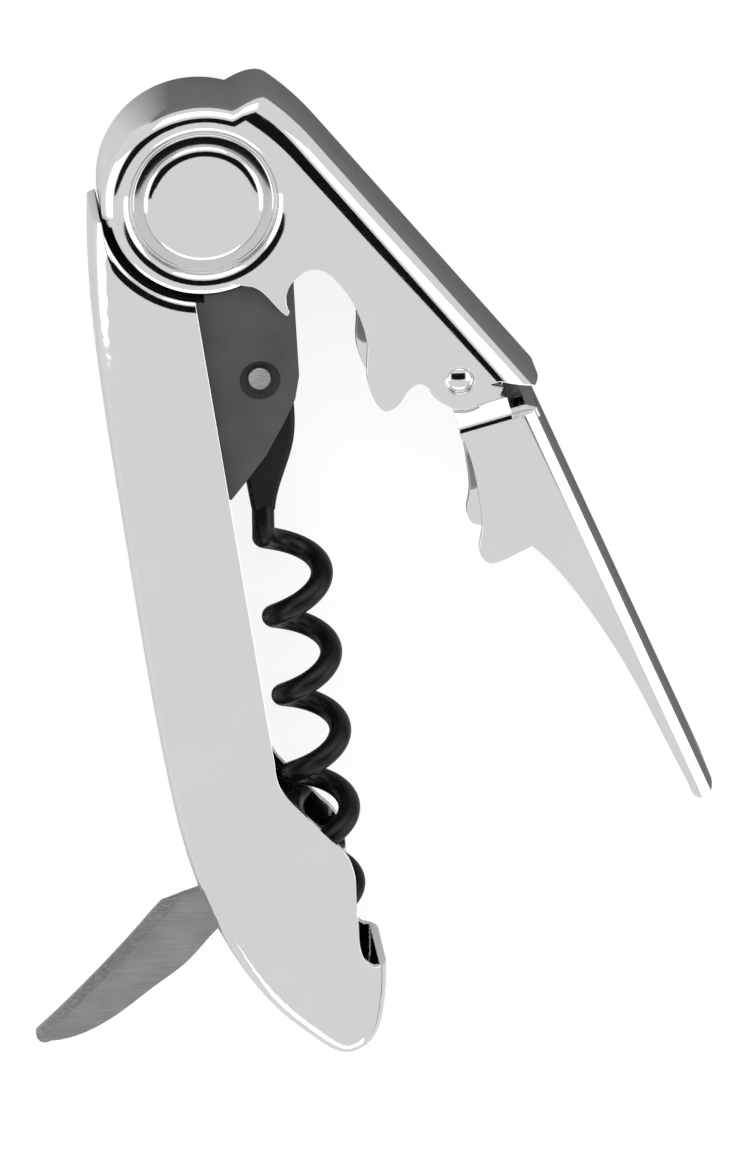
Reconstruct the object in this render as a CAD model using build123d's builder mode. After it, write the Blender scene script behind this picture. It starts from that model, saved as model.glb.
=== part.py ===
from build123d import *
import os
from math import cos, hypot, pi, sin

# A double-lever corkscrew lying on its side. Every hinge axis is parallel to Z.
# The main pivot's axis is x = y = 0, and the handle hangs from it towards -Y.

os.makedirs("parts", exist_ok=True)

THICK = 14.0           # width of the handle and of both levers, along the pivots
SHEET = 1.0            # wall of the pressed handle and levers
MID = THICK / 2
NEAR_IN = THICK - SHEET  # inner faces of the two side panels
FAR_IN = SHEET

# main pivot and hub
DOME_R = 12.3          # outer radius of the upper lever's rounded back over the hub
DOME_FILLET = 2.0
HUB_R = 11.4           # bare hub panel, where the dome does not cover it
HANDLE_CUT_R = 12.5    # the handle's panels end on this arc around the hub
ARC_ROUND_R = 1.3      # rolled edge of the panels along that arc
ARC_ROUND_Z = 0.5
DISH_R = 10.3          # pressed recess around the pivot discs, with a rolled rim
DISH_FLOOR_R = 8.9
DISH_RIM_Z = 0.8
DISH_DEPTH = 1.0
DISC_R = 7.3
SHAFT_R = 2.5
RUNNING = 0.06         # radial clearance of a running fit

# upper lever
BACK_D = 15.9          # distance of the upper lever's back from the main pivot
BACK_DIR = -50.2       # direction of that back, in degrees
BACK_FILLET = 4.2
VALLEY_FILLET = 1.9
BACK_LENGTH = 44.6     # from the foot of the main pivot's normal to the end of the back
HINGE = (31.1, -23.7)  # lever hinge
HINGE_EYE_R = 3.9
RIVET_R = 1.25
RIVET_HEAD_R = 1.75
RIVET_HEAD_DEPTH = 0.6

# lower lever
LOW_DIR = -66.1        # direction of the lower lever's back
LOW_BACK = (41.1, -28.0)
LOW_FILLET = 2.6
LOW_LENGTH = 57.5
SHOULDER_DIR = 15.0    # the shoulder where the knuckle widens into the lever
SHOULDER_D = 6.75
KNUCKLE_Z = 1.25       # the knuckle's outer faces lie this far inside the lever's

# core, worm and knife
CORE_Z = 1.4           # the bare core's faces lie this far inside the handle's
CORE_HUB_Z = 2.4
CORE_HUB_R = 10.6
WORM_PIN = (6.7, -23.2)
WORM_PIN_R = 1.45
PIN_POCKET_R = 2.5
PIN_POCKET_DEPTH = 1.3
FORK_HALF = 1.9        # half width of the slot that takes the worm's eye
EYE_HALF = 1.6
WORM_TILT = 6.0        # the worm's axis leans this much from -Y towards +X, in degrees
WORM_START = (11.35, -51.0)  # on the worm's axis, level with its first outer turn
WORM_R = 3.38
WIRE_R = 1.4
PITCH = 10.85
TURNS = 4.65
KNIFE_PIVOT = (4.7, -95.3)
KNIFE_PIN_R = 1.25
KNIFE_HALF = 0.75      # half the blade's thickness
KNIFE_SLOT_HALF = 1.1
TANG_R = 3.8


def polar(radius, angle, centre=(0, 0)):
    a = angle * pi / 180
    return (centre[0] + radius * cos(a), centre[1] + radius * sin(a))


def back_point(along, distance):
    """A point of the upper lever, along its back and at a distance from the main pivot."""
    a = BACK_DIR * pi / 180
    return (along * cos(a) - distance * sin(a), along * sin(a) + distance * cos(a))


def low_point(along, inwards):
    """A point of the lower lever, along its back from the shoulder and inwards from it."""
    a = LOW_DIR * pi / 180
    x = LOW_BACK[0] + along * cos(a) + inwards * sin(a)
    return (x, LOW_BACK[1] + along * sin(a) - inwards * cos(a))


def round_off(start, radial, drop, sign):
    """A quarter ellipse in a radial section, from a flat face's point inwards to a steep edge."""
    centre = (start[0], start[1] - sign * drop)
    first = 90 if sign > 0 else 180
    return EllipticalCenterArc(centre, radial, drop, start_angle=first, arc_size=90)


def roll_off(start, radial, drop, sign):
    """A quarter ellipse in a radial section, from a flat face's point outwards to a steep edge."""
    centre = (start[0], start[1] - sign * drop)
    first = 0 if sign > 0 else 270
    return EllipticalCenterArc(centre, radial, drop, start_angle=first, arc_size=90)


def outer_edges(part, test):
    """The edges of the two outer side faces whose middle passes the test."""
    flat = part.edges().filter_by_position(Axis.Z, -0.01, 0.01)
    flat += part.edges().filter_by_position(Axis.Z, THICK - 0.01, THICK + 0.01)
    return ShapeList([e for e in flat if test(e @ 0.5)])


def inset(curve, distance, count):
    """Points beside a curve, to the left of its direction."""
    points = []
    for i in range(count + 1):
        at = curve.position_at(i / count)
        along = curve.tangent_at(i / count)
        points.append((at.X - along.Y * distance, at.Y + along.X * distance))
    return points


# ---------------------------------------------------------------- handle shell

BACK_TOP = (-13.45, -2.0)
BACK = [BACK_TOP, (-13.15, -17.0), (-11.6, -31.6), (-9.65, -46.3), (-7.65, -61.1), (-5.3, -75.9)]
BACK += [(-1.95, -90.3), (3.95, -103.2), (8.6, -109.4), (13.2, -113.6)]
BACK += [(17.4, -115.8), (20.5, -114.2), (22.0, -110.2), (22.4, -105.5), (22.2, -100.0), (21.6, -92.0)]
FRONT_TOP = (-1.1, -13.0)
FRONT_LOW = (8.1, -74.2)
CROOK = [FRONT_LOW, (8.6, -76.9), (10.2, -79.5)]
WEDGE_END = (15.2, -85.0)
HEEL = [WEDGE_END, (17.4, -87.6), (18.3, -91.2)]
NOTCH = [(18.4, -95.2), (18.7, -98.8), (19.4, -101.8), (20.6, -103.0)]
HANDLE_FILLET = 2.4
KNIFE_SLOT = (-101.5, -59.0)   # y where the blade's slot in the spine begins and ends
CORE_SCREWS_Y = (-19.0, -33.0)
SCREW_R = 1.0
SCREW_HEAD_R = 1.9

with BuildPart() as handle_body:
    with BuildSketch(Plane.XY):
        with BuildLine():
            Spline(*BACK)
            Polyline(BACK[-1], (BACK[-1][0], BACK_TOP[1]), BACK_TOP)
        make_face()
    extrude(amount=THICK)
    back_curve = Spline(*BACK, mode=Mode.PRIVATE)
    half_way = back_curve.position_at(0.5).X
    back_edges = outer_edges(handle_body, lambda p: abs(p.X - half_way) < 0.5)
    fillet(back_edges, HANDLE_FILLET)

with BuildPart() as handle_front:
    with BuildSketch(Plane.XY.offset(-1)):
        with BuildLine():
            Line(FRONT_TOP, FRONT_LOW)
            Spline(*CROOK)
            Line(CROOK[-1], WEDGE_END)
            Spline(*HEEL)
            Line(HEEL[-1], NOTCH[0])
            Spline(*NOTCH)
            Polyline(NOTCH[-1], (40, NOTCH[-1][1]), (40, 5), (FRONT_TOP[0], 5), FRONT_TOP)
        make_face()
    extrude(amount=THICK + 2)

with BuildPart() as handle_cavity:
    with BuildSketch(Plane.XY.offset(FAR_IN)):
        with BuildLine():
            inner = Spline(*inset(back_curve, SHEET, 24))
            start = inner.position_at(0)
            end = inner.position_at(1)
            Polyline(end, (40.0, -80.0), (40.0, 20.0), (start.X, 20.0), start)
        make_face()
    extrude(amount=THICK - 2 * SHEET)


def spine_plane(y):
    """A plane square to the spine at a height, looking into the handle."""
    best = min((i / 400 for i in range(401)), key=lambda t: abs(back_curve.position_at(t).Y - y))
    at = back_curve.position_at(best)
    along = back_curve.tangent_at(best)
    return Plane(origin=(at.X, at.Y, MID), x_dir=(0, 0, 1), z_dir=(-along.Y, along.X, 0))


with BuildPart() as handle_shell:
    add(handle_body.part)
    add(handle_front.part, mode=Mode.SUBTRACT)
    add(handle_cavity.part, mode=Mode.SUBTRACT)
    with BuildSketch(Plane.XY.offset(-1)):
        Circle(HANDLE_CUT_R)
    extrude(amount=THICK + 2, mode=Mode.SUBTRACT)
    for face, sign in ((THICK, 1), (0, -1)):
        low = HANDLE_CUT_R + ARC_ROUND_R
        with BuildSketch(Plane.XZ):
            with BuildLine():
                round_off((low, face), ARC_ROUND_R, ARC_ROUND_Z, sign)
                foot = face - sign * ARC_ROUND_Z
                Polyline((HANDLE_CUT_R, foot), (HANDLE_CUT_R - 1, foot), (HANDLE_CUT_R - 1, face + sign),
                         (low, face + sign), (low, face))
            make_face()
        revolve(axis=Axis.Z, mode=Mode.SUBTRACT)
    with BuildSketch(Plane.XY.offset(MID - KNIFE_SLOT_HALF)):
        with Locations((-20, sum(KNIFE_SLOT) / 2)):
            Rectangle(48, KNIFE_SLOT[1] - KNIFE_SLOT[0])
    extrude(amount=2 * KNIFE_SLOT_HALF, mode=Mode.SUBTRACT)
    for y in CORE_SCREWS_Y:
        with Locations(spine_plane(y).offset(-0.05)):
            Hole(SCREW_R + 0.1, depth=3)
            Cone(SCREW_HEAD_R + 0.1, SCREW_R + 0.1, 0.9, align=(Align.CENTER, Align.CENTER, Align.MIN),
                 mode=Mode.SUBTRACT)
handle_shell.part.label = "handle_shell"
export_step(handle_shell.part, "parts/handle_shell.step")

# ---------------------------------------------------------------- upper lever

PEAK = (7.5, 13.9)           # where the back rises from the dome
VALLEY_INSIDE = (0.5, 10.1)  # the rise carried on into the hub
RISE_END = back_point(3.0, BACK_D)
BACK_UP = (-cos(BACK_DIR * pi / 180), -sin(BACK_DIR * pi / 180))
DOME_ANGLES = (73.0, 193.0)
TOOTH = [(5.7, -10.6), (6.4, -10.95), (9.4, -14.1), (9.95, -14.45), (10.25, -14.0)]
ARCH = [(10.25, -14.0), (9.95, -11.6), (10.8, -10.0), (13.4, -8.75), (16.5, -10.9), (19.1, -15.9)]
ARCH += [(19.75, -18.9), (19.65, -21.8), (20.4, -25.4), (22.1, -27.35), (23.9, -26.1), (25.0, -24.5)]
ARCH += [(26.3, -24.0), (27.4, -24.7), (28.6, -26.1), (30.1, -27.2)]
EYE_END = back_point(41.6, 12.4)
TONGUE_LOW = back_point(45.4, 15.0)

with BuildPart() as lever_block:
    with BuildSketch(Plane.XY):
        with BuildLine():
            TangentArc(RISE_END, PEAK, tangent=BACK_UP)
            Polyline(PEAK, VALLEY_INSIDE, (0, -60), back_point(52, -20), back_point(52, BACK_D), RISE_END)
        make_face()
    extrude(amount=THICK)
    straight_mid = back_point(27.5, BACK_D)
    rise_mid = (9.3, 12.5)
    lever_back_edges = outer_edges(
        lever_block,
        lambda p: hypot(p.X - straight_mid[0], p.Y - straight_mid[1]) < 1.5
        or hypot(p.X - rise_mid[0], p.Y - rise_mid[1]) < 1.5,
    )
    fillet(lever_back_edges, BACK_FILLET)
    valley_mid = ((PEAK[0] + VALLEY_INSIDE[0]) / 2, (PEAK[1] + VALLEY_INSIDE[1]) / 2)
    valley_edges = outer_edges(
        lever_block, lambda p: hypot(p.X - valley_mid[0], p.Y - valley_mid[1]) < 2.5)
    fillet(valley_edges, VALLEY_FILLET)

with BuildPart() as lever_trim:
    with BuildSketch(Plane.XY.offset(-1)):
        with BuildLine():
            Spline(*TOOTH)
            Spline(*ARCH)
            ThreePointArc(ARCH[-1], polar(HINGE_EYE_R, -60, HINGE), polar(HINGE_EYE_R, -8, HINGE))
            Polyline(polar(HINGE_EYE_R, -8, HINGE), EYE_END, TONGUE_LOW, back_point(45.2, 17.0),
                     back_point(60, 17.0), (60, -70), (-10, -70), (-10, -11.0), (2.0, -10.0), TOOTH[0])
        make_face()
    extrude(amount=THICK + 2)

with BuildPart() as lever_dome:
    Cylinder(DOME_R, THICK, align=(Align.CENTER, Align.CENTER, Align.MIN))
    fillet(lever_dome.edges().filter_by(GeomType.CIRCLE), DOME_FILLET)
    with BuildSketch(Plane.XY.offset(-1)):
        with BuildLine():
            CenterArc((0, 0), HUB_R, DOME_ANGLES[1], 360 - DOME_ANGLES[1] + DOME_ANGLES[0])
            Line(polar(HUB_R, DOME_ANGLES[0]), polar(20, DOME_ANGLES[0]))
            CenterArc((0, 0), 20, DOME_ANGLES[1], 360 - DOME_ANGLES[1] + DOME_ANGLES[0])
            Line(polar(20, DOME_ANGLES[1]), polar(HUB_R, DOME_ANGLES[1]))
        make_face()
    extrude(amount=THICK + 2, mode=Mode.SUBTRACT)

with BuildPart() as lever_cavity:
    with BuildSketch(Plane.XY.offset(FAR_IN)):
        with BuildLine():
            TangentArc(back_point(3.0, BACK_D - SHEET), (7.45, 12.75), tangent=BACK_UP)
            Polyline((7.45, 12.75), (1.0, 9.3), (-3, 0), (-3, -60), back_point(60, -20),
                     back_point(60, BACK_D - SHEET), back_point(3.0, BACK_D - SHEET))
        make_face()
    extrude(amount=THICK - 2 * SHEET)
    cavity_edges = lever_cavity.edges().filter_by(
        lambda e: hypot((e @ 0.5).X - back_point(31.5, BACK_D - SHEET)[0],
                        (e @ 0.5).Y - back_point(31.5, BACK_D - SHEET)[1]) < 2.0)
    fillet(cavity_edges, BACK_FILLET - SHEET)

with BuildPart() as upper_lever:
    add(lever_block.part)
    add(lever_trim.part, mode=Mode.SUBTRACT)
    add(lever_dome.part)
    add(lever_cavity.part, mode=Mode.SUBTRACT)
    with BuildSketch(Plane.XY.offset(FAR_IN)):
        Circle(DOME_R - SHEET)
    extrude(amount=THICK - 2 * SHEET, mode=Mode.SUBTRACT)
    with BuildSketch(Plane.XY.offset(FAR_IN)):
        with BuildLine():
            CenterArc((0, 0), DOME_R + 1, DOME_ANGLES[1], 360 - DOME_ANGLES[1] - 10)
            Line(polar(DOME_R + 1, -10), (0, 0))
            Line((0, 0), polar(DOME_R + 1, DOME_ANGLES[1]))
        make_face()
    extrude(amount=THICK - 2 * SHEET, mode=Mode.SUBTRACT)
    for floor, top, sign in ((THICK - DISH_DEPTH, THICK, 1), (DISH_DEPTH, 0, -1)):
        with BuildSketch(Plane.XZ):
            with BuildLine():
                Polyline((SHAFT_R + RUNNING, floor), (SHAFT_R + RUNNING, floor - sign * SHEET),
                         (DISH_FLOOR_R + 0.5, floor - sign * SHEET), (DISH_R + 0.3, floor),
                         (SHAFT_R + RUNNING, floor))
            make_face()
        revolve(axis=Axis.Z)
        with BuildSketch(Plane.XZ):
            with BuildLine():
                round_off((DISH_R, top), DISH_R - DISH_FLOOR_R, DISH_RIM_Z, sign)
                Polyline((DISH_FLOOR_R, top - sign * DISH_RIM_Z), (DISH_FLOOR_R, floor), (0, floor),
                         (0, top + sign), (DISH_R, top + sign), (DISH_R, top))
            make_face()
        revolve(axis=Axis.Z, mode=Mode.SUBTRACT)
    with BuildSketch(Plane.XY.offset(-1)):
        Circle(SHAFT_R + RUNNING)
        with Locations(HINGE):
            Circle(RIVET_R)
    extrude(amount=THICK + 2, mode=Mode.SUBTRACT)
    for base in (0, THICK - RIVET_HEAD_DEPTH):
        with BuildSketch(Plane.XY.offset(base)):
            with Locations(HINGE):
                Circle(RIVET_HEAD_R)
        extrude(amount=RIVET_HEAD_DEPTH, mode=Mode.SUBTRACT)
upper_lever.part.label = "upper_lever"
export_step(upper_lever.part, "parts/upper_lever.step")

# ---------------------------------------------------------------- lower lever

CLAW = [(29.6, -26.8), (31.1, -30.1), (32.7, -34.6), (33.8, -40.5), (33.95, -44.0), (33.75, -46.4)]
CLAW += [(34.9, -47.9), (36.7, -47.6), (38.8, -46.6), (40.3, -45.9)]
TAIL = [(40.3, -45.9), (42.9, -48.5), (46.0, -52.5), (52.3, -62.5), (58.6, -75.1), (60.9, -79.7)]
TIP = (62.3, -81.2)
SHOULDER_N = (sin(SHOULDER_DIR * pi / 180), -cos(SHOULDER_DIR * pi / 180))
SHOULDER_T = (cos(SHOULDER_DIR * pi / 180), sin(SHOULDER_DIR * pi / 180))
RAMP_D = 4.25          # the ramp from the knuckle up to the shoulder starts here
RAMP_ROUND = [(5.92, 0.232), (6.317, 0.06), (SHOULDER_D, 0)]  # its rounded top, out and down
BARREL_R = 5.7         # rounded back of the knuckle
BARREL_BORE = 2.7
BARREL_ANGLES = (-52.0, 8.0)
KNUCKLE_TURN = -15.5   # the knuckle's side plates follow the barrel only up to this angle
TAIL_SOLID = 52.0      # the tail's channel ends here, along the back


def shoulder_point(across, out):
    """A point near the lever hinge, across and out along the shoulder's directions."""
    x = HINGE[0] + across * SHOULDER_T[0] + out * SHOULDER_N[0]
    return (x, HINGE[1] + across * SHOULDER_T[1] + out * SHOULDER_N[1])


with BuildPart() as low_block:
    with BuildSketch(Plane.XY):
        with BuildLine():
            Polyline(low_point(-6, 0), low_point(LOW_LENGTH, 0), low_point(LOW_LENGTH, 24), low_point(-6, 24),
                     close=True)
        make_face()
    extrude(amount=THICK)
    low_mid = low_point((LOW_LENGTH - 6) / 2, 0)
    low_edges = outer_edges(low_block, lambda p: hypot(p.X - low_mid[0], p.Y - low_mid[1]) < 1)
    fillet(low_edges, LOW_FILLET)

with BuildPart() as low_trim:
    with BuildSketch(Plane.XY.offset(-1)):
        with BuildLine():
            Spline(*CLAW)
            Spline(*TAIL)
            ThreePointArc(TAIL[-1], TIP, low_point(LOW_LENGTH - 1.3, 0))
            Polyline(low_point(LOW_LENGTH - 1.3, 0), low_point(LOW_LENGTH + 9, -2),
                     low_point(LOW_LENGTH + 9, 40), (10, -60), (10, -20), CLAW[0])
        make_face()
    extrude(amount=THICK + 2)

with BuildPart() as low_cavity:
    with BuildSketch(Plane.XY.offset(FAR_IN)):
        with BuildLine():
            Polyline(shoulder_point(12, SHOULDER_D + SHEET), shoulder_point(-15, SHOULDER_D + SHEET),
                     low_point(25, 40), low_point(TAIL_SOLID, 20), low_point(TAIL_SOLID, -5), close=True)
        make_face()
        with BuildLine():
            Polyline(low_point(-8, SHEET), low_point(TAIL_SOLID, SHEET), low_point(TAIL_SOLID, -6),
                     low_point(-8, -6), close=True)
        make_face(mode=Mode.SUBTRACT)
    extrude(amount=THICK - 2 * SHEET)

with BuildPart() as lower_lever:
    add(low_block.part)
    add(low_trim.part, mode=Mode.SUBTRACT)
    with BuildSketch(Plane.XY.offset(-1)):
        with BuildLine():
            Polyline(shoulder_point(-14, SHOULDER_D), shoulder_point(14, SHOULDER_D), shoulder_point(14, -12),
                     shoulder_point(-14, -12), close=True)
        make_face()
    extrude(amount=THICK + 2, mode=Mode.SUBTRACT)
    add(low_cavity.part, mode=Mode.SUBTRACT)
    for outer, sign in ((THICK, 1), (0, -1)):
        knuckle = outer - sign * KNUCKLE_Z
        ramp_plane = Plane(
            origin=(*shoulder_point(-1.75, 0), 0), x_dir=(*SHOULDER_N, 0), z_dir=(*SHOULDER_T, 0))
        ramp_up = ramp_plane.y_dir.Z
        with BuildSketch(ramp_plane):
            with BuildLine():
                inner = (outer - sign * SHEET) * ramp_up
                bend = [(out, (outer - sign * drop) * ramp_up) for out, drop in RAMP_ROUND]
                ThreePointArc(*bend)
                Polyline(bend[2], (SHOULDER_D + SHEET, bend[2][1]), (SHOULDER_D + SHEET, inner),
                         (SHOULDER_D, inner), (RAMP_D, (knuckle - sign * SHEET) * ramp_up),
                         (RAMP_D, knuckle * ramp_up), bend[0])
            make_face()
        extrude(amount=6.8)
        with BuildSketch(Plane.XY.offset(min(knuckle, knuckle - sign * SHEET))):
            with Locations(HINGE):
                Circle(HINGE_EYE_R)
            with BuildLine():
                Polyline(shoulder_point(-1.75, 0), shoulder_point(-1.75, RAMP_D + 0.2),
                         shoulder_point(5.05, RAMP_D + 0.2), HINGE, close=True)
            make_face()
            with BuildLine():
                CenterArc(HINGE, BARREL_R, BARREL_ANGLES[0], KNUCKLE_TURN - BARREL_ANGLES[0])
                Line(polar(BARREL_R, KNUCKLE_TURN, HINGE), HINGE)
                Line(HINGE, polar(BARREL_R, BARREL_ANGLES[0], HINGE))
            make_face()
        extrude(amount=SHEET)
    with BuildSketch(Plane.XY.offset(KNUCKLE_Z + SHEET)):
        with BuildLine():
            CenterArc(HINGE, BARREL_R, BARREL_ANGLES[0], BARREL_ANGLES[1] - BARREL_ANGLES[0])
            Line(polar(BARREL_R, BARREL_ANGLES[1], HINGE), polar(BARREL_BORE, BARREL_ANGLES[1], HINGE))
            CenterArc(HINGE, BARREL_BORE, BARREL_ANGLES[0], BARREL_ANGLES[1] - BARREL_ANGLES[0])
            Line(polar(BARREL_BORE, BARREL_ANGLES[0], HINGE), polar(BARREL_R, BARREL_ANGLES[0], HINGE))
        make_face()
    extrude(amount=THICK - 2 * (KNUCKLE_Z + SHEET))
    with BuildSketch(Plane.XY.offset(FAR_IN)):
        with BuildLine():
            Polyline(shoulder_point(3.0, SHOULDER_D - SHEET), shoulder_point(7.0, SHOULDER_D - SHEET),
                     shoulder_point(8.6, SHOULDER_D), shoulder_point(8.9, SHOULDER_D + SHEET),
                     shoulder_point(3.0, SHOULDER_D + SHEET), close=True)
        make_face()
        with BuildLine():
            Polyline(low_point(-8, 0.3), low_point(20, 0.3), low_point(20, -6), low_point(-8, -6), close=True)
        make_face(mode=Mode.SUBTRACT)
    extrude(amount=THICK - 2 * SHEET)
    with BuildSketch(Plane.XY.offset(-1)):
        with Locations(HINGE):
            Circle(RIVET_R + RUNNING)
    extrude(amount=THICK + 2, mode=Mode.SUBTRACT)
lower_lever.part.label = "lower_lever"
export_step(lower_lever.part, "parts/lower_lever.step")

# ---------------------------------------------------------------- lever hinge rivet

with BuildPart() as hinge_rivet:
    with BuildSketch(Plane.XY.offset(RIVET_HEAD_DEPTH)):
        with Locations(HINGE):
            Circle(RIVET_R)
    extrude(amount=THICK - 2 * RIVET_HEAD_DEPTH)
    for face, sign in ((THICK, 1), (0, -1)):
        seat = face - sign * RIVET_HEAD_DEPTH
        with BuildSketch(Plane((HINGE[0], HINGE[1], 0), x_dir=(1, 0, 0), z_dir=(0, -1, 0))):
            with BuildLine():
                rim = seat + sign * 0.05
                bulge = (RIVET_HEAD_R * 0.72, rim + sign * (RIVET_HEAD_DEPTH - 0.05) * 0.51)
                ThreePointArc((RIVET_HEAD_R, rim), bulge, (0.12, face))
                Polyline((0.12, face), (0, face), (0, seat), (RIVET_HEAD_R, seat), (RIVET_HEAD_R, rim))
            make_face()
        revolve(axis=Axis((HINGE[0], HINGE[1], 0), (0, 0, 1)))
hinge_rivet.part.label = "hinge_rivet"
export_step(hinge_rivet.part, "parts/hinge_rivet.step")

with BuildPart() as hinge_sleeve:
    with BuildSketch(Plane.XY.offset(KNUCKLE_Z + SHEET + 0.05)):
        with Locations(HINGE):
            Circle(2.2)
            Circle(RIVET_R + RUNNING, mode=Mode.SUBTRACT)
    extrude(amount=THICK - 2 * (KNUCKLE_Z + SHEET + 0.05))
hinge_sleeve.part.label = "hinge_sleeve"
export_step(hinge_sleeve.part, "parts/hinge_sleeve.step")

# ---------------------------------------------------------------- core inside the handle

CORE_CLEAR_R = 12.95   # the dome of the upper lever swings through inside this radius
CORE_FRONT = [(10.6, 0), (10.9, -11.2), (11.1, -15.4), (11.5, -22.8), (11.0, -25.8), (9.8, -28.5)]
CORE_FRONT += [(7.4, -33.0), (4.9, -36.4), (3.1, -38.7)]
FORK_TOP = -17.5
FORK_BACK = 2.0

with BuildPart() as pivot_core:
    with BuildSketch(Plane.XY.offset(FAR_IN)):
        with BuildLine():
            Polyline((0, -5), (10.6, -5), *CORE_FRONT[1:], (-14, -38.7), (-14, -3.0),
                     polar(CORE_CLEAR_R, 194))
            CenterArc((0, 0), CORE_CLEAR_R, 194, 76)
            Line(polar(CORE_CLEAR_R, 270), (0, -5))
        make_face()
    extrude(amount=THICK - 2 * SHEET)
    add(handle_cavity.part, mode=Mode.INTERSECT)
    for base in (0, THICK - CORE_Z):
        with BuildSketch(Plane.XY.offset(base)):
            with BuildLine():
                Polyline((FRONT_TOP[0] - 0.4, FRONT_TOP[1]), (FRONT_LOW[0] - 0.4, FRONT_LOW[1]), (40, -70),
                         (40, 20), (FRONT_TOP[0] - 0.4, 20), close=True)
            make_face()
        extrude(amount=CORE_Z, mode=Mode.SUBTRACT)
    for base in (0, THICK - CORE_HUB_Z):
        with BuildSketch(Plane.XY.offset(base)):
            Circle(HUB_R + 0.5)
        extrude(amount=CORE_HUB_Z, mode=Mode.SUBTRACT)
    with BuildSketch(Plane.XY.offset(CORE_HUB_Z)):
        Circle(CORE_HUB_R)
    extrude(amount=THICK - 2 * CORE_HUB_Z)
    with BuildSketch(Plane.XY.offset(-1)):
        Circle(SHAFT_R + RUNNING)
        with Locations(WORM_PIN):
            Circle(WORM_PIN_R)
    extrude(amount=THICK + 2, mode=Mode.SUBTRACT)
    with BuildSketch(Plane.XY.offset(MID - FORK_HALF)):
        with BuildLine():
            Polyline((FORK_BACK, -60), (FORK_BACK, FORK_TOP - 2), (FORK_BACK + 2, FORK_TOP), (40, FORK_TOP),
                     (40, -60), close=True)
        make_face()
    extrude(amount=2 * FORK_HALF, mode=Mode.SUBTRACT)
    for base in (0, THICK - CORE_Z - PIN_POCKET_DEPTH):
        with BuildSketch(Plane.XY.offset(base)):
            with Locations(WORM_PIN):
                Circle(PIN_POCKET_R)
        extrude(amount=CORE_Z + PIN_POCKET_DEPTH, mode=Mode.SUBTRACT)
    for y in CORE_SCREWS_Y:
        with Locations(spine_plane(y)):
            Hole(SCREW_R, depth=8)
pivot_core.part.label = "pivot_core"
export_step(pivot_core.part, "parts/pivot_core.step")

with BuildPart() as core_screws:
    for y in CORE_SCREWS_Y:
        with Locations(spine_plane(y).offset(0.1)):
            Cone(SCREW_HEAD_R - 0.1, SCREW_R, 0.75, align=(Align.CENTER, Align.CENTER, Align.MIN))
            Cylinder(SCREW_R, 7.5, align=(Align.CENTER, Align.CENTER, Align.MIN))
            Box(0.5, 2.4, 0.9, mode=Mode.SUBTRACT)
            Box(2.4, 0.5, 0.9, mode=Mode.SUBTRACT)
core_screws.part.label = "core_screws"
export_step(core_screws.part, "parts/core_screws.step")

with BuildPart() as worm_pin:
    with Locations((*WORM_PIN, CORE_Z + 0.35)):
        Cylinder(WORM_PIN_R, THICK - 2 * CORE_Z - 0.7, align=(Align.CENTER, Align.CENTER, Align.MIN))
    chamfer(worm_pin.edges().filter_by(GeomType.CIRCLE), 0.2)
worm_pin.part.label = "worm_pin"
export_step(worm_pin.part, "parts/worm_pin.step")

with BuildPart() as worm_washers:
    for z in (MID - FORK_HALF + 0.05, MID + FORK_HALF - 0.25):
        with BuildSketch(Plane.XY.offset(z)):
            with Locations(WORM_PIN):
                Circle(2.7)
                Circle(WORM_PIN_R, mode=Mode.SUBTRACT)
        extrude(amount=0.2)
worm_washers.part.label = "worm_washers"
export_step(worm_washers.part, "parts/worm_washers.step")

# ---------------------------------------------------------------- main pivot

WASHER_Z = CORE_HUB_Z - 0.35   # core washers sit between the core's hub and the pressed dishes
DISC_THICK = 0.65
DISC_ROUND = 1.2
RING_R = 8.6
RING_THICK = 0.3
RING_ROUND = 1.2

with BuildPart() as rear_core_washer:
    with BuildSketch(Plane.XY.offset(WASHER_Z)):
        Circle(7.0)
        Circle(SHAFT_R + RUNNING, mode=Mode.SUBTRACT)
    extrude(amount=0.35)
rear_core_washer.part.label = "rear_core_washer"
export_step(rear_core_washer.part, "parts/rear_core_washer.step")

with BuildPart() as front_core_washer:
    with BuildSketch(Plane.XY.offset(THICK - CORE_HUB_Z)):
        Circle(7.0)
        Circle(SHAFT_R + RUNNING, mode=Mode.SUBTRACT)
    extrude(amount=0.35)
front_core_washer.part.label = "front_core_washer"
export_step(front_core_washer.part, "parts/front_core_washer.step")

with BuildPart() as main_pivot_shaft:
    with BuildSketch(Plane.XY.offset(DISC_THICK)):
        Circle(SHAFT_R)
    extrude(amount=THICK - 2 * DISC_THICK)
main_pivot_shaft.part.label = "main_pivot_shaft"
export_step(main_pivot_shaft.part, "parts/main_pivot_shaft.step")

with BuildPart() as front_pivot_disc:
    with BuildSketch(Plane.XZ):
        with BuildLine():
            top = THICK
            start = (DISC_R - DISC_ROUND, top)
            roll_off(start, DISC_ROUND, DISC_THICK - 0.05, 1)
            Polyline(start, (0, top), (0, top - DISC_THICK),
                     (DISC_R, top - DISC_THICK), (DISC_R, top - (DISC_THICK - 0.05)))
        make_face()
    revolve(axis=Axis.Z)
front_pivot_disc.part.label = "front_pivot_disc"
export_step(front_pivot_disc.part, "parts/front_pivot_disc.step")

with BuildPart() as rear_pivot_disc:
    with BuildSketch(Plane.XZ):
        with BuildLine():
            top = 0
            start = (DISC_R - DISC_ROUND, top)
            roll_off(start, DISC_ROUND, DISC_THICK - 0.05, -1)
            Polyline(start, (0, top), (0, top + DISC_THICK),
                     (DISC_R, top + DISC_THICK), (DISC_R, top + (DISC_THICK - 0.05)))
        make_face()
    revolve(axis=Axis.Z)
rear_pivot_disc.part.label = "rear_pivot_disc"
export_step(rear_pivot_disc.part, "parts/rear_pivot_disc.step")

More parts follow.
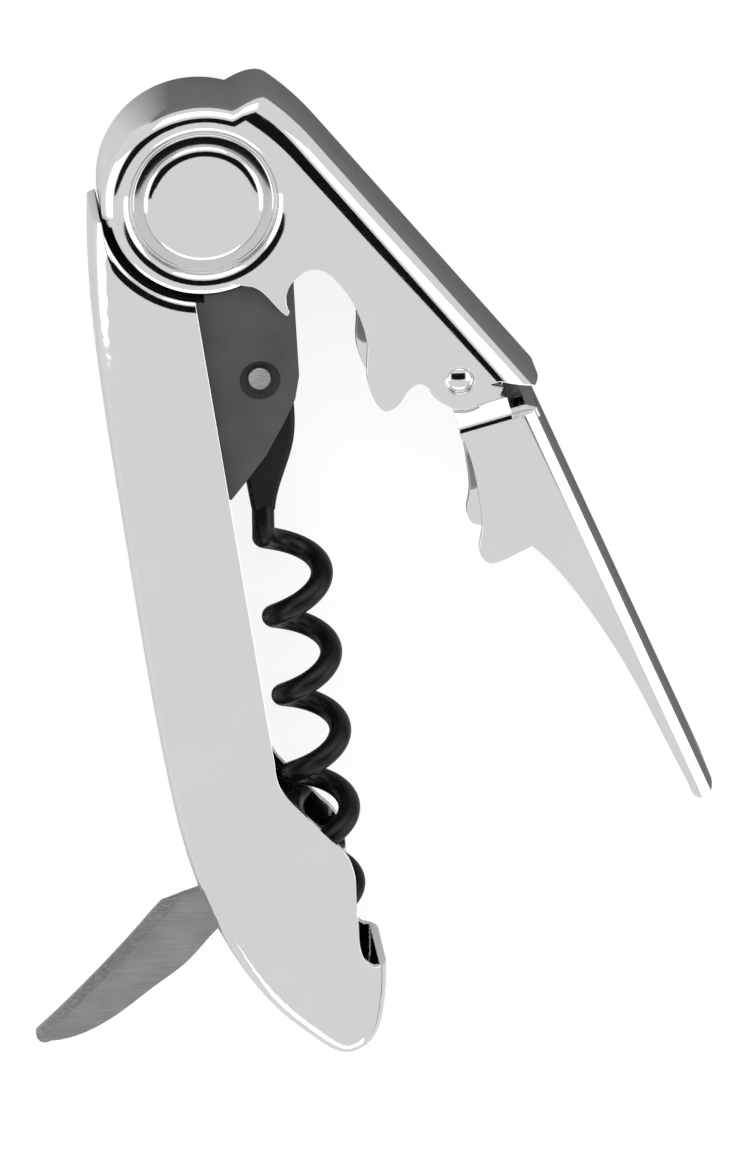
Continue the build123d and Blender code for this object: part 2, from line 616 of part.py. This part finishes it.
with BuildPart() as front_spring_ring:
    with BuildSketch(Plane.XZ):
        with BuildLine():
            top = THICK - DISH_DEPTH + RING_THICK
            start = (RING_R - RING_ROUND, top)
            roll_off(start, RING_ROUND, RING_THICK - 0.02, 1)
            Polyline(start, (SHAFT_R + 0.4, top), (SHAFT_R + 0.4, top - RING_THICK),
                     (RING_R, top - RING_THICK), (RING_R, top - (RING_THICK - 0.02)))
        make_face()
    revolve(axis=Axis.Z)
front_spring_ring.part.label = "front_spring_ring"
export_step(front_spring_ring.part, "parts/front_spring_ring.step")

with BuildPart() as rear_spring_ring:
    with BuildSketch(Plane.XZ):
        with BuildLine():
            top = DISH_DEPTH - RING_THICK
            start = (RING_R - RING_ROUND, top)
            roll_off(start, RING_ROUND, RING_THICK - 0.02, -1)
            Polyline(start, (SHAFT_R + 0.4, top), (SHAFT_R + 0.4, top + RING_THICK),
                     (RING_R, top + RING_THICK), (RING_R, top + (RING_THICK - 0.02)))
        make_face()
    revolve(axis=Axis.Z)
rear_spring_ring.part.label = "rear_spring_ring"
export_step(rear_spring_ring.part, "parts/rear_spring_ring.step")

# ---------------------------------------------------------------- worm

EYE_R = 4.2
SHANK_LEFT = [(2.9, -25.0), (3.4, -29.0), (4.5, -34.0), (5.25, -38.0), (5.95, -42.0)]
SHANK_RIGHT = [(8.85, -42.0), (9.7, -38.0), (11.1, -33.3), (11.3, -28.5), (10.7, -24.6)]
TAPER_TURNS = 1.1

down = (sin(WORM_TILT * pi / 180), -cos(WORM_TILT * pi / 180))
side = (-down[1], down[0])


def coil_edge(turn, turns):
    """The worm's centreline, starting that many turns below its first outer turn."""
    at = (WORM_START[0] + turn * PITCH * down[0], WORM_START[1] + turn * PITCH * down[1], MID)
    c = cos(2 * pi * turn)
    x_dir = (c * side[0], c * side[1], sin(2 * pi * turn))
    place = Plane(origin=at, x_dir=x_dir, z_dir=(*down, 0))
    return place.from_local_coords(Edge.make_helix(PITCH, turns * PITCH, WORM_R))


coil = coil_edge(-0.5, TURNS + 0.5 - TAPER_TURNS)
point = coil_edge(TURNS - TAPER_TURNS, TAPER_TURNS)

with BuildPart() as worm_shank:
    with BuildSketch(Plane.XY.offset(MID - EYE_HALF)):
        with BuildLine():
            Spline(*SHANK_LEFT)
            Line(SHANK_LEFT[-1], SHANK_RIGHT[0])
            Spline(*SHANK_RIGHT)
            ThreePointArc(SHANK_RIGHT[-1], (WORM_PIN[0], WORM_PIN[1] + EYE_R), SHANK_LEFT[0])
        make_face()
    extrude(amount=2 * EYE_HALF)
    fillet(worm_shank.edges().group_by(Axis.Z)[-1], 0.7)
    fillet(worm_shank.edges().group_by(Axis.Z)[0], 0.7)
    with BuildSketch(Plane.XY):
        with Locations(WORM_PIN):
            Circle(WORM_PIN_R + RUNNING)
    extrude(amount=THICK, mode=Mode.SUBTRACT)

with BuildPart() as worm:
    with BuildLine():
        neck = Spline((7.4, -39.5, MID), coil @ 0, tangents=[(0, -1, 0), coil % 0])
    with BuildSketch(Plane(origin=neck @ 0, z_dir=neck % 0)):
        Circle(WIRE_R)
    sweep(path=Wire([neck, coil]))
    with BuildSketch(Plane(origin=point @ 0, z_dir=point % 0)):
        Circle(WIRE_R)
    with BuildSketch(Plane(origin=point @ 1, z_dir=point % 1)):
        Circle(0.3)
    sweep(path=point, is_frenet=True, multisection=True)
    add(worm_shank.part)
worm.part.label = "worm"
export_step(worm.part, "parts/worm.step")

# ---------------------------------------------------------------- knife

BLOCK = (-0.5, 10.0, -101.0, -89.5)   # x and y limits of the knife's block
BLADE_TOP = [(5.2, -91.55), (1.5, -93.0), (-1.2, -94.0), (-6.0, -95.4)]
BLADE_EDGE = [(-7.0, -96.5), (-12.1, -102.5), (-17.8, -108.6), (-22.3, -112.9)]
BLADE_TIP = (-22.3, -114.0)
BLADE_SPINE = [(-20.6, -114.4), (-18.2, -114.1), (-14.6, -112.7), (-11.3, -110.6), (-7.0, -107.2)]
BLADE_SPINE += [(-2.9, -104.0), (0.7, -99.9), (2.6, -98.2)]
SPRING_X = 8.55

with BuildPart() as knife_block:
    with BuildSketch(Plane.XY.offset(FAR_IN)):
        with BuildLine():
            Polyline((BLOCK[0] - 2, BLOCK[2]), (BLOCK[1], BLOCK[2]), (BLOCK[1], BLOCK[3]),
                     (BLOCK[0] - 2, BLOCK[3]), close=True)
        make_face()
    extrude(amount=THICK - 2 * SHEET)
    add(handle_cavity.part, mode=Mode.INTERSECT)
    with BuildSketch(Plane.XY.offset(MID - KNIFE_SLOT_HALF)):
        with BuildLine():
            Polyline((-20, -110), (SPRING_X + 0.5, -110), (SPRING_X + 0.5, -80), (-20, -80), close=True)
        make_face()
    extrude(amount=2 * KNIFE_SLOT_HALF, mode=Mode.SUBTRACT)
    with BuildSketch(Plane.XY):
        with Locations(KNIFE_PIVOT):
            Circle(KNIFE_PIN_R)
    extrude(amount=THICK, mode=Mode.SUBTRACT)
knife_block.part.label = "knife_block"
export_step(knife_block.part, "parts/knife_block.step")

with BuildPart() as knife_pin:
    with BuildSketch(Plane.XY.offset(FAR_IN + 0.2)):
        with Locations(KNIFE_PIVOT):
            Circle(KNIFE_PIN_R)
    extrude(amount=THICK - 2 * SHEET - 0.4)
knife_pin.part.label = "knife_pin"
export_step(knife_pin.part, "parts/knife_pin.step")

with BuildPart() as knife_washers:
    for z in (MID - KNIFE_SLOT_HALF + 0.05, MID + KNIFE_SLOT_HALF - 0.3):
        with BuildSketch(Plane.XY.offset(z)):
            with Locations(KNIFE_PIVOT):
                Circle(2.6)
                Circle(KNIFE_PIN_R, mode=Mode.SUBTRACT)
        extrude(amount=0.25)
knife_washers.part.label = "knife_washers"
export_step(knife_washers.part, "parts/knife_washers.step")

with BuildPart() as knife_spring:
    with BuildSketch(Plane.XY.offset(MID - KNIFE_SLOT_HALF + 0.1)):
        with Locations((SPRING_X + 0.25, -95.3)):
            Rectangle(0.5, 9.6)
    extrude(amount=2 * KNIFE_SLOT_HALF - 0.2)
knife_spring.part.label = "knife_spring"
export_step(knife_spring.part, "parts/knife_spring.step")

with BuildPart() as knife_blade:
    with BuildSketch(Plane.XY.offset(MID - KNIFE_HALF)):
        with BuildLine():
            Spline(*BLADE_TOP)
            Line(BLADE_TOP[-1], BLADE_EDGE[0])
            Spline(*BLADE_EDGE)
            ThreePointArc(BLADE_EDGE[-1], BLADE_TIP, BLADE_SPINE[0])
            Spline(*BLADE_SPINE)
            Line(BLADE_SPINE[-1], BLADE_TOP[0])
        make_face()
        with Locations(KNIFE_PIVOT):
            Circle(TANG_R)
    extrude(amount=2 * KNIFE_HALF)
    edge_mid = Spline(*BLADE_EDGE, mode=Mode.PRIVATE) @ 0.5
    for top in (True, False):
        face = knife_blade.faces().sort_by(Axis.Z)[-1 if top else 0]
        cutting = [e for e in face.edges() if hypot((e @ 0.5).X - edge_mid.X, (e @ 0.5).Y - edge_mid.Y) < 0.5]
        chamfer(cutting, length=1.6, length2=0.6, reference=face)
    with BuildSketch(Plane.XY):
        with Locations(KNIFE_PIVOT):
            Circle(KNIFE_PIN_R + RUNNING)
    extrude(amount=THICK, mode=Mode.SUBTRACT)
knife_blade.part.label = "knife_blade"
export_step(knife_blade.part, "parts/knife_blade.step")
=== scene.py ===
import bpy
import math
from mathutils import Matrix, Vector

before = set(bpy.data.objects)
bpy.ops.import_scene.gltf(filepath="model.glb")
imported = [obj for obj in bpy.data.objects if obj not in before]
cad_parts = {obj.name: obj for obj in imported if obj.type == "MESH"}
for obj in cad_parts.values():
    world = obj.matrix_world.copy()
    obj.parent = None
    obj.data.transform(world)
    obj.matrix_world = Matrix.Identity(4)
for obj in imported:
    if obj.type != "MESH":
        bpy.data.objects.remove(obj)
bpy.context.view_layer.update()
scene = bpy.context.scene
scene.view_settings.view_transform = "Standard"
scene.view_settings.look = "None"

# Lengths are in metres. A noise's scale is in cells per metre.

# ---------------------------------------------------------------- materials

NOISE_RANGE = (0.3, 0.7)       # nearly all of a noise's values lie in here
BEVEL_SAMPLES = 6


def new_material(name):
    mat = bpy.data.materials.new(name)
    mat.use_nodes = True
    nodes, links = mat.node_tree.nodes, mat.node_tree.links
    shader = nodes["Principled BSDF"]
    return mat, nodes, links, shader


def noise(nodes, links, scale, detail, stretch=(1, 1, 1), turn=0.0, rough=0.5):
    """A noise texture in the object's own coordinates, turned about Z."""
    coord = nodes.new("ShaderNodeTexCoord")
    mapping = nodes.new("ShaderNodeMapping")
    mapping.inputs["Scale"].default_value = stretch
    mapping.inputs["Rotation"].default_value = (0, 0, turn)
    tex = nodes.new("ShaderNodeTexNoise")
    tex.inputs["Scale"].default_value = scale
    tex.inputs["Detail"].default_value = detail
    tex.inputs["Roughness"].default_value = rough
    links.new(coord.outputs["Object"], mapping.inputs["Vector"])
    links.new(mapping.outputs["Vector"], tex.inputs["Vector"])
    return tex.outputs["Fac"]


def spread(nodes, links, value, source, target=(0.0, 1.0)):
    """Maps a value from the range source to the range target."""
    node = nodes.new("ShaderNodeMapRange")
    node.inputs["From Min"].default_value, node.inputs["From Max"].default_value = source
    node.inputs["To Min"].default_value, node.inputs["To Max"].default_value = target
    links.new(value, node.inputs["Value"])
    return node.outputs["Result"]


def tint(nodes, links, fac, first, second):
    """Blends two colours over the middle of a value's range."""
    ramp = nodes.new("ShaderNodeValToRGB")
    for element, colour, position in zip(ramp.color_ramp.elements, (first, second), NOISE_RANGE):
        element.color = (*colour, 1)
        element.position = position
    links.new(fac, ramp.inputs["Fac"])
    return ramp.outputs["Color"]


def add(nodes, links, first, second):
    node = nodes.new("ShaderNodeMath")
    node.operation = "ADD"
    links.new(first, node.inputs[0])
    links.new(second, node.inputs[1])
    return node.outputs[0]


def finish_normal(nodes, links, shader, height, distance, strength, edge):
    """Relief from a height and, where edge isn't 0, softened edges."""
    bump = nodes.new("ShaderNodeBump")
    bump.inputs["Strength"].default_value = strength
    bump.inputs["Distance"].default_value = distance
    links.new(height, bump.inputs["Height"])
    if edge:
        bevel = nodes.new("ShaderNodeBevel")
        bevel.samples = BEVEL_SAMPLES
        bevel.inputs["Radius"].default_value = edge
        links.new(bevel.outputs["Normal"], bump.inputs["Normal"])
    links.new(bump.outputs["Normal"], shader.inputs["Normal"])


CLOUD_SCALE_STEEL = 90
CLOUD_DIM = 0.975              # the cloudy parts' brightness beside the rest
WIPES = [                      # scale, stretch, turn, range shown
    (900, (1, 0.05, 1), 0.35, (0.55, 0.8)),
    (700, (0.05, 1, 1), -0.5, (0.6, 0.85)),
]
WIPE_ROUGHNESS = 0.03
WIPE_DEPTH = 0.00001
WIPE_RELIEF = 0.03


def polished(name, colour, roughness, edge):
    """Polished steel: faint clouds, wiping marks in two directions, and softened edges."""
    mat, nodes, links, shader = new_material(name)
    shader.inputs["Metallic"].default_value = 1.0
    cloud = noise(nodes, links, CLOUD_SCALE_STEEL, 3)
    dimmed = tuple(channel * CLOUD_DIM for channel in colour)
    links.new(tint(nodes, links, cloud, dimmed, colour), shader.inputs["Base Color"])
    wipes = [spread(nodes, links, noise(nodes, links, scale, 2, stretch, turn), shown)
             for scale, stretch, turn, shown in WIPES]
    marks = add(nodes, links, *wipes)
    rough = add(nodes, links, spread(nodes, links, cloud, NOISE_RANGE, roughness),
                spread(nodes, links, marks, (0, 1), (0, WIPE_ROUGHNESS)))
    links.new(rough, shader.inputs["Roughness"])
    finish_normal(nodes, links, shader, marks, WIPE_DEPTH, WIPE_RELIEF, edge)
    return mat


CLOUD_SCALE_GRAINED = 160
GRAIN_RELIEF = 0.35
GRAIN_ROUGHNESS = (-0.06, 0.07)


def grained(name, dark, light, rough, grain, depth, edge, spec=0.5):
    """Moulded or coated surface with a fine grain."""
    mat, nodes, links, shader = new_material(name)
    cloud = noise(nodes, links, CLOUD_SCALE_GRAINED, 4)
    links.new(tint(nodes, links, cloud, dark, light), shader.inputs["Base Color"])
    shader.inputs["Specular IOR Level"].default_value = spec
    fine = noise(nodes, links, grain, 3, rough=0.6)
    roughness = [rough + change for change in GRAIN_ROUGHNESS]
    links.new(spread(nodes, links, fine, NOISE_RANGE, roughness), shader.inputs["Roughness"])
    finish_normal(nodes, links, shader, fine, depth, GRAIN_RELIEF, edge)
    return mat


LINE_SCALE = 5200
LINE_RANGE = (0.2, 0.8)
LINE_SHARE = 0.5               # the lines' and the clouds' parts in the colour
CLOUD_SCALE_BRUSHED = 140
CLOUD_SHARE = 0.4
LINE_ROUGHNESS = (-0.08, 0.1)
LINE_DEPTH = 0.00002
LINE_RELIEF = 0.25


def brushed(name, dark, light, rough, direction, stretch, edge):
    """Ground steel with its grain along one direction."""
    mat, nodes, links, shader = new_material(name)
    shader.inputs["Metallic"].default_value = 1.0
    lines = noise(nodes, links, LINE_SCALE, 2, stretch, direction, 0.6)
    cloud = noise(nodes, links, CLOUD_SCALE_BRUSHED, 3)
    mixed = add(nodes, links, spread(nodes, links, lines, LINE_RANGE, (0, LINE_SHARE)),
                spread(nodes, links, cloud, NOISE_RANGE, (0, CLOUD_SHARE)))
    links.new(tint(nodes, links, mixed, dark, light), shader.inputs["Base Color"])
    roughness = [rough + change for change in LINE_ROUGHNESS]
    links.new(spread(nodes, links, lines, NOISE_RANGE, roughness), shader.inputs["Roughness"])
    finish_normal(nodes, links, shader, lines, LINE_DEPTH, LINE_RELIEF, edge)
    return mat


steel = polished("polished_steel_look", (0.765, 0.77, 0.768), (0.04, 0.07), edge=0.0002)
ring = polished("satin_ring_look", (0.66, 0.66, 0.66), (0.08, 0.13), edge=0.0)
core = grained("core_look", (0.052, 0.055, 0.059), (0.076, 0.080, 0.085),
               rough=0.52, grain=3200, depth=0.00003, edge=0.0003, spec=0.4)
coat = grained("worm_coat_look", (0.003, 0.003, 0.0033), (0.008, 0.008, 0.0085),
               rough=0.3, grain=2200, depth=0.00004, edge=0.0003, spec=0.25)
blade = brushed("blade_look", (0.27, 0.27, 0.263), (0.36, 0.36, 0.35),
                rough=0.4, direction=0.9, stretch=(0.05, 1, 1), edge=0.00015)
pin = brushed("pin_look", (0.38, 0.38, 0.38), (0.62, 0.62, 0.61),
              rough=0.42, direction=0.4, stretch=(0.3, 1, 1), edge=0.0002)
nylon = grained("washer_look", (0.62, 0.62, 0.60), (0.72, 0.72, 0.70),
                rough=0.5, grain=2500, depth=0.00002, edge=0.0)

LOOKS = {
    steel: ["handle_shell", "upper_lever", "lower_lever", "front_pivot_disc", "rear_pivot_disc",
            "hinge_rivet"],
    ring: ["front_spring_ring", "rear_spring_ring"],
    core: ["pivot_core", "knife_block"],
    coat: ["worm"],
    blade: ["knife_blade"],
    pin: ["worm_pin", "main_pivot_shaft", "knife_pin", "hinge_sleeve", "core_screws", "worm_washers",
          "knife_washers", "knife_spring"],
    nylon: ["front_core_washer", "rear_core_washer"],
}
for mat, names in LOOKS.items():
    for name in names:
        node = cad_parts[name]
        for slot in node.material_slots:
            slot.material = mat

# ---------------------------------------------------------------- staged sheets


def sheet(name, size, place, facing):
    """A staged flat rectangle with a plain matt material, which it returns in parts."""
    bpy.ops.mesh.primitive_plane_add(size=1)
    obj = bpy.context.object
    obj.name = name
    turn = Vector(facing).to_track_quat("Z", "Y").to_matrix().to_4x4()
    obj.matrix_world = Matrix.Translation(place) @ turn @ Matrix.Diagonal((*size, 1, 1))
    mat, nodes, links, shader = new_material(name + "_look")
    shader.inputs["Roughness"].default_value = 1.0
    shader.inputs["Specular IOR Level"].default_value = 0.0
    obj.data.materials.append(mat)
    return nodes, links, shader


SEEN_GREY = 0.95               # what the camera sees of the floor: part matt, part glow
SEEN_GLOW = 1.1
GLOW_SHARE = 0.78
PAINTED_REFLECTION_GREYS = (0.85, 0.2)   # painted reflection and shade: floor greys that only reflected and bounced rays see, over the range below
PAINTED_REFLECTION_FROM = (-0.012, 0.012)
PAINTED_REFLECTION_ALONG = (0.8, 0.6, 0.0)


def seen_floor(nodes, links):
    """The pale floor that the camera sees."""
    pale = nodes.new("ShaderNodeMixShader")
    white = nodes.new("ShaderNodeBsdfDiffuse")
    white.inputs["Color"].default_value = (SEEN_GREY, SEEN_GREY, SEEN_GREY, 1)
    glow = nodes.new("ShaderNodeEmission")
    glow.inputs["Strength"].default_value = SEEN_GLOW
    pale.inputs["Fac"].default_value = GLOW_SHARE
    links.new(white.outputs["BSDF"], pale.inputs[1])
    links.new(glow.outputs["Emission"], pale.inputs[2])
    return pale.outputs["Shader"]


def painted_reflection_floor(nodes, links):
    """Painted reflection: a floor colour for reflected and bounced rays only, light on the handle's
    side and grey on the levers' side, so that the steel's back walls mirror painted shade.
    """
    where = nodes.new("ShaderNodeNewGeometry")
    across = nodes.new("ShaderNodeVectorMath")
    across.operation = "DOT_PRODUCT"
    across.inputs[1].default_value = PAINTED_REFLECTION_ALONG
    links.new(where.outputs["Position"], across.inputs[0])
    place = spread(nodes, links, across.outputs["Value"], PAINTED_REFLECTION_FROM)
    light, dark = [(grey, grey, grey) for grey in PAINTED_REFLECTION_GREYS]
    return tint(nodes, links, place, light, dark)


# The floor is pale to the camera, but reflected and bounced rays see a painted reflection gradient
# on it.
floor_nodes, floor_links, painted_reflection_floor_shader = sheet("floor", (3.0, 3.0), (0.02, -0.05, 0.0), (0, 0, 1))
floor_links.new(painted_reflection_floor(floor_nodes, floor_links), painted_reflection_floor_shader.inputs["Base Color"])
# Camera rays see the pale floor; every other ray sees the painted reflection and shade colour.
floor_path = floor_nodes.new("ShaderNodeLightPath")
floor_mix = floor_nodes.new("ShaderNodeMixShader")
floor_links.new(floor_path.outputs["Is Camera Ray"], floor_mix.inputs["Fac"])
floor_links.new(painted_reflection_floor_shader.outputs["BSDF"], floor_mix.inputs[1])
floor_links.new(seen_floor(floor_nodes, floor_links), floor_mix.inputs[2])
floor_links.new(floor_mix.outputs["Shader"], floor_nodes["Material Output"].inputs["Surface"])

# The steel's fillets mirror this card as dark lines.
card_shader = sheet("dark_card", (1.5, 0.66), (0.0, 0.0, 1.2), (0, 0, -1))[2]
card_shader.inputs["Base Color"].default_value = (0.01, 0.01, 0.01, 1)

# ---------------------------------------------------------------- light

WORLD_LIGHT = 0.84
WORLD_SEEN = 1.1               # white to the camera, so that low views show no horizon

world = bpy.data.worlds.new("studio")
scene.world = world
world.use_nodes = True
world_nodes, world_links = world.node_tree.nodes, world.node_tree.links
background = world_nodes["Background"]
background.inputs["Color"].default_value = (1, 1, 1, 1)
world_path = world_nodes.new("ShaderNodeLightPath")
world_strength = spread(world_nodes, world_links, world_path.outputs["Is Camera Ray"], (0, 1),
                        (WORLD_LIGHT, WORLD_SEEN))
world_links.new(world_strength, background.inputs["Strength"])


def softbox(name, size, place, radiance):
    """A rectangular lamp that faces the origin and is equally bright at any size."""
    lamp_data = bpy.data.lights.new(name, "AREA")
    lamp_data.shape = "RECTANGLE"
    lamp_data.size, lamp_data.size_y = size
    lamp_data.energy = radiance * math.pi * size[0] * size[1]
    lamp = bpy.data.objects.new(name, lamp_data)
    facing = Vector(place).to_track_quat("Z", "Y").to_matrix().to_4x4()
    lamp.matrix_world = Matrix.Translation(place) @ facing
    scene.collection.objects.link(lamp)


SIDE_BOX = (0.9, 1.2)
WIDE_BOX = (1.4, 0.7)
softbox("left_box", SIDE_BOX, (-1.1, -0.1, 0.55), 1.0)
softbox("right_box", SIDE_BOX, (1.1, -0.1, 0.55), 1.0)
softbox("front_box", WIDE_BOX, (0.0, -1.3, 0.5), 1.0)
softbox("high_box", WIDE_BOX, (0.0, 1.0, 0.95), 1.25)

# ---------------------------------------------------------------- camera

CAMERA = Vector((-0.04575, 0.20675, 0.63469))
TOWARD = Vector((-0.09671, 0.37946, 0.92014)).normalized()   # from what is looked at to the camera
SENSOR = 36                    # millimetres, over the picture's longer side
FOCAL_LENGTH = 5450            # in the picture's pixels
IMAGE_HEIGHT = 1156

up = (Vector((0, 1, 0)) - TOWARD * TOWARD.y).normalized()
right = up.cross(TOWARD)
camera_data = bpy.data.cameras.new("camera")
camera_data.lens = SENSOR * FOCAL_LENGTH / IMAGE_HEIGHT
camera_data.sensor_width = SENSOR
camera_data.clip_start = 0.01
camera = bpy.data.objects.new("camera", camera_data)
scene.collection.objects.link(camera)
camera_turn = Matrix((right, up, TOWARD)).transposed().to_4x4()
camera.matrix_world = Matrix.Translation(CAMERA) @ camera_turn
scene.camera = camera
